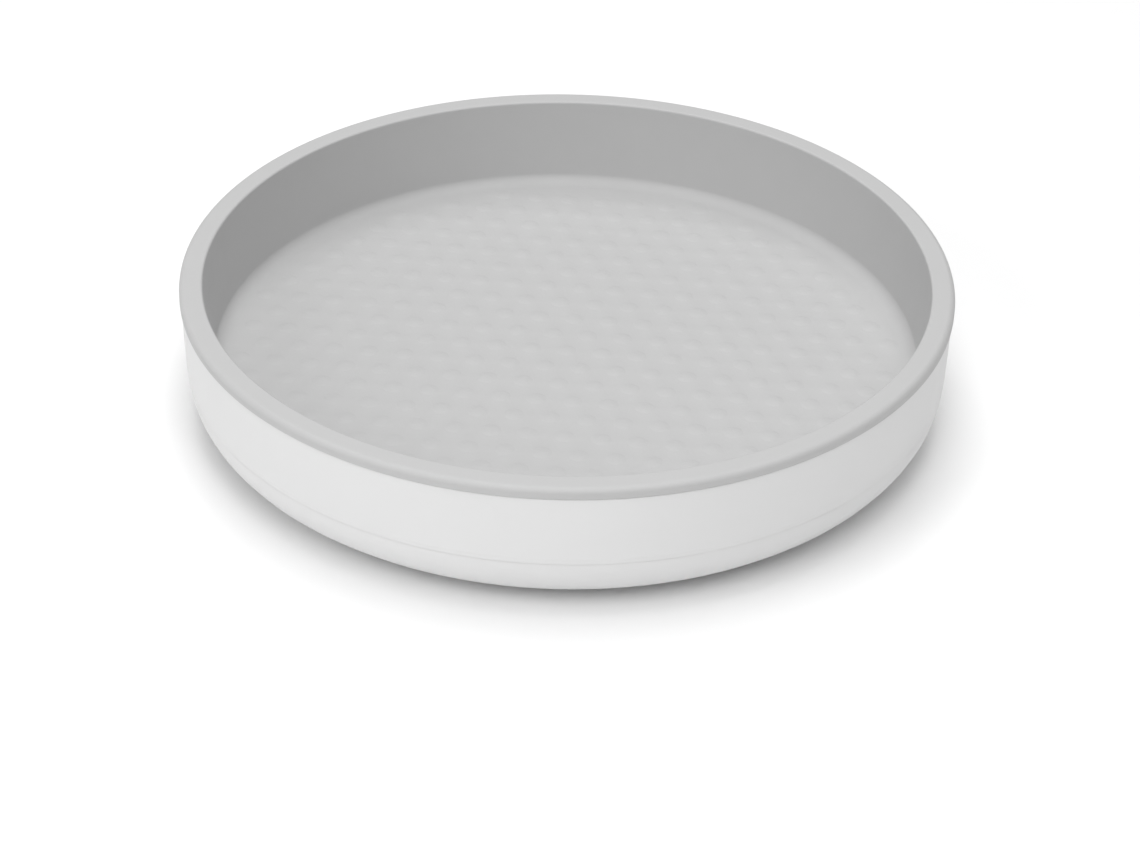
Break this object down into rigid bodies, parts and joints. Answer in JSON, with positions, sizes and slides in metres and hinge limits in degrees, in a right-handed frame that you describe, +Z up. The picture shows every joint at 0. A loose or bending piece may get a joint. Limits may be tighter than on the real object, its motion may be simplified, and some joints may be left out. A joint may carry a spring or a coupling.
{
  "type": "lazy susan turntable",
  "caption": "Round lazy susan tray with a soft bumped liner, turning on a ball bearing above a fixed base with foot pads.",
  "frame": {"origin": "the point on the counter under the turning axis, at the foot pads' lower faces", "axes": "+Z up along the turning axis, +X towards foot_pad_1 and along a row of the liner's bumps"},
  "size_m": [0.254, 0.254, 0.049],
  "materials": {
    "shell": "white moulded polypropylene, satin",
    "liner": "light grey moulded thermoplastic elastomer, matt",
    "base": "white moulded polypropylene, satin",
    "race": "zinc-plated pressed steel",
    "ball": "polished steel",
    "cage": "natural moulded acetal",
    "bush": "natural moulded acetal, polished bore",
    "fastener": "zinc-plated steel",
    "pad": "black foamed neoprene, matt"
  },
  "bodies": {
    "base": {"base_plate": "base", "lower_race": "race", "centre_bush": "bush", "screw_cap": "base", "foot_pad_1": "pad", "foot_pad_2": "pad", "foot_pad_3": "pad", "foot_pad_4": "pad", "foot_pad_5": "pad"},
    "tray": {"outer_shell": "shell", "grip_liner": "liner", "upper_race": "race", "thrust_washer": "fastener", "centre_screw": "fastener"},
    "cage": {"ball_cage": "cage"},
    "ball_01": {"ball_01": "ball"},
    "ball_02": {"ball_02": "ball"},
    "ball_03": {"ball_03": "ball"},
    "ball_04": {"ball_04": "ball"},
    "ball_05": {"ball_05": "ball"},
    "ball_06": {"ball_06": "ball"},
    "ball_07": {"ball_07": "ball"},
    "ball_08": {"ball_08": "ball"},
    "ball_09": {"ball_09": "ball"},
    "ball_10": {"ball_10": "ball"},
    "ball_11": {"ball_11": "ball"},
    "ball_12": {"ball_12": "ball"}
  },
  "joints": [
    {"name": "tray_spin", "type": "hinge", "parent": "base", "child": "tray", "pos_m": [0, 0, 0], "axis": [0, 0, 1], "continuous": true},
    {"name": "cage_orbit", "type": "hinge", "parent": "base", "child": "cage", "pos_m": [0, 0, 0.0086], "axis": [0, 0, 1], "continuous": true},
    {"name": "ball_01_roll", "type": "hinge", "parent": "cage", "child": "ball_01", "pos_m": [0.06, 0, 0.0086], "axis": [1, 0, 0], "continuous": true},
    {"name": "ball_02_roll", "type": "hinge", "parent": "cage", "child": "ball_02", "pos_m": [0.05196, 0.03, 0.0086], "axis": [0.866, 0.5, 0], "continuous": true},
    {"name": "ball_03_roll", "type": "hinge", "parent": "cage", "child": "ball_03", "pos_m": [0.03, 0.05196, 0.0086], "axis": [0.5, 0.866, 0], "continuous": true},
    {"name": "ball_04_roll", "type": "hinge", "parent": "cage", "child": "ball_04", "pos_m": [0, 0.06, 0.0086], "axis": [0, 1, 0], "continuous": true},
    {"name": "ball_05_roll", "type": "hinge", "parent": "cage", "child": "ball_05", "pos_m": [-0.03, 0.05196, 0.0086], "axis": [-0.5, 0.866, 0], "continuous": true},
    {"name": "ball_06_roll", "type": "hinge", "parent": "cage", "child": "ball_06", "pos_m": [-0.05196, 0.03, 0.0086], "axis": [-0.866, 0.5, 0], "continuous": true},
    {"name": "ball_07_roll", "type": "hinge", "parent": "cage", "child": "ball_07", "pos_m": [-0.06, 0, 0.0086], "axis": [-1, 0, 0], "continuous": true},
    {"name": "ball_08_roll", "type": "hinge", "parent": "cage", "child": "ball_08", "pos_m": [-0.05196, -0.03, 0.0086], "axis": [-0.866, -0.5, 0], "continuous": true},
    {"name": "ball_09_roll", "type": "hinge", "parent": "cage", "child": "ball_09", "pos_m": [-0.03, -0.05196, 0.0086], "axis": [-0.5, -0.866, 0], "continuous": true},
    {"name": "ball_10_roll", "type": "hinge", "parent": "cage", "child": "ball_10", "pos_m": [0, -0.06, 0.0086], "axis": [0, -1, 0], "continuous": true},
    {"name": "ball_11_roll", "type": "hinge", "parent": "cage", "child": "ball_11", "pos_m": [0.03, -0.05196, 0.0086], "axis": [0.5, -0.866, 0], "continuous": true},
    {"name": "ball_12_roll", "type": "hinge", "parent": "cage", "child": "ball_12", "pos_m": [0.05196, -0.03, 0.0086], "axis": [0.866, -0.5, 0], "continuous": true}
  ],
  "couplings": [
    {"joint": "cage_orbit", "follows": "tray_spin", "ratio": 0.5},
    {"joint": "ball_01_roll", "follows": "tray_spin", "ratio": -10},
    {"joint": "ball_02_roll", "follows": "tray_spin", "ratio": -10},
    {"joint": "ball_03_roll", "follows": "tray_spin", "ratio": -10},
    {"joint": "ball_04_roll", "follows": "tray_spin", "ratio": -10},
    {"joint": "ball_05_roll", "follows": "tray_spin", "ratio": -10},
    {"joint": "ball_06_roll", "follows": "tray_spin", "ratio": -10},
    {"joint": "ball_07_roll", "follows": "tray_spin", "ratio": -10},
    {"joint": "ball_08_roll", "follows": "tray_spin", "ratio": -10},
    {"joint": "ball_09_roll", "follows": "tray_spin", "ratio": -10},
    {"joint": "ball_10_roll", "follows": "tray_spin", "ratio": -10},
    {"joint": "ball_11_roll", "follows": "tray_spin", "ratio": -10},
    {"joint": "ball_12_roll", "follows": "tray_spin", "ratio": -10}
  ]
}
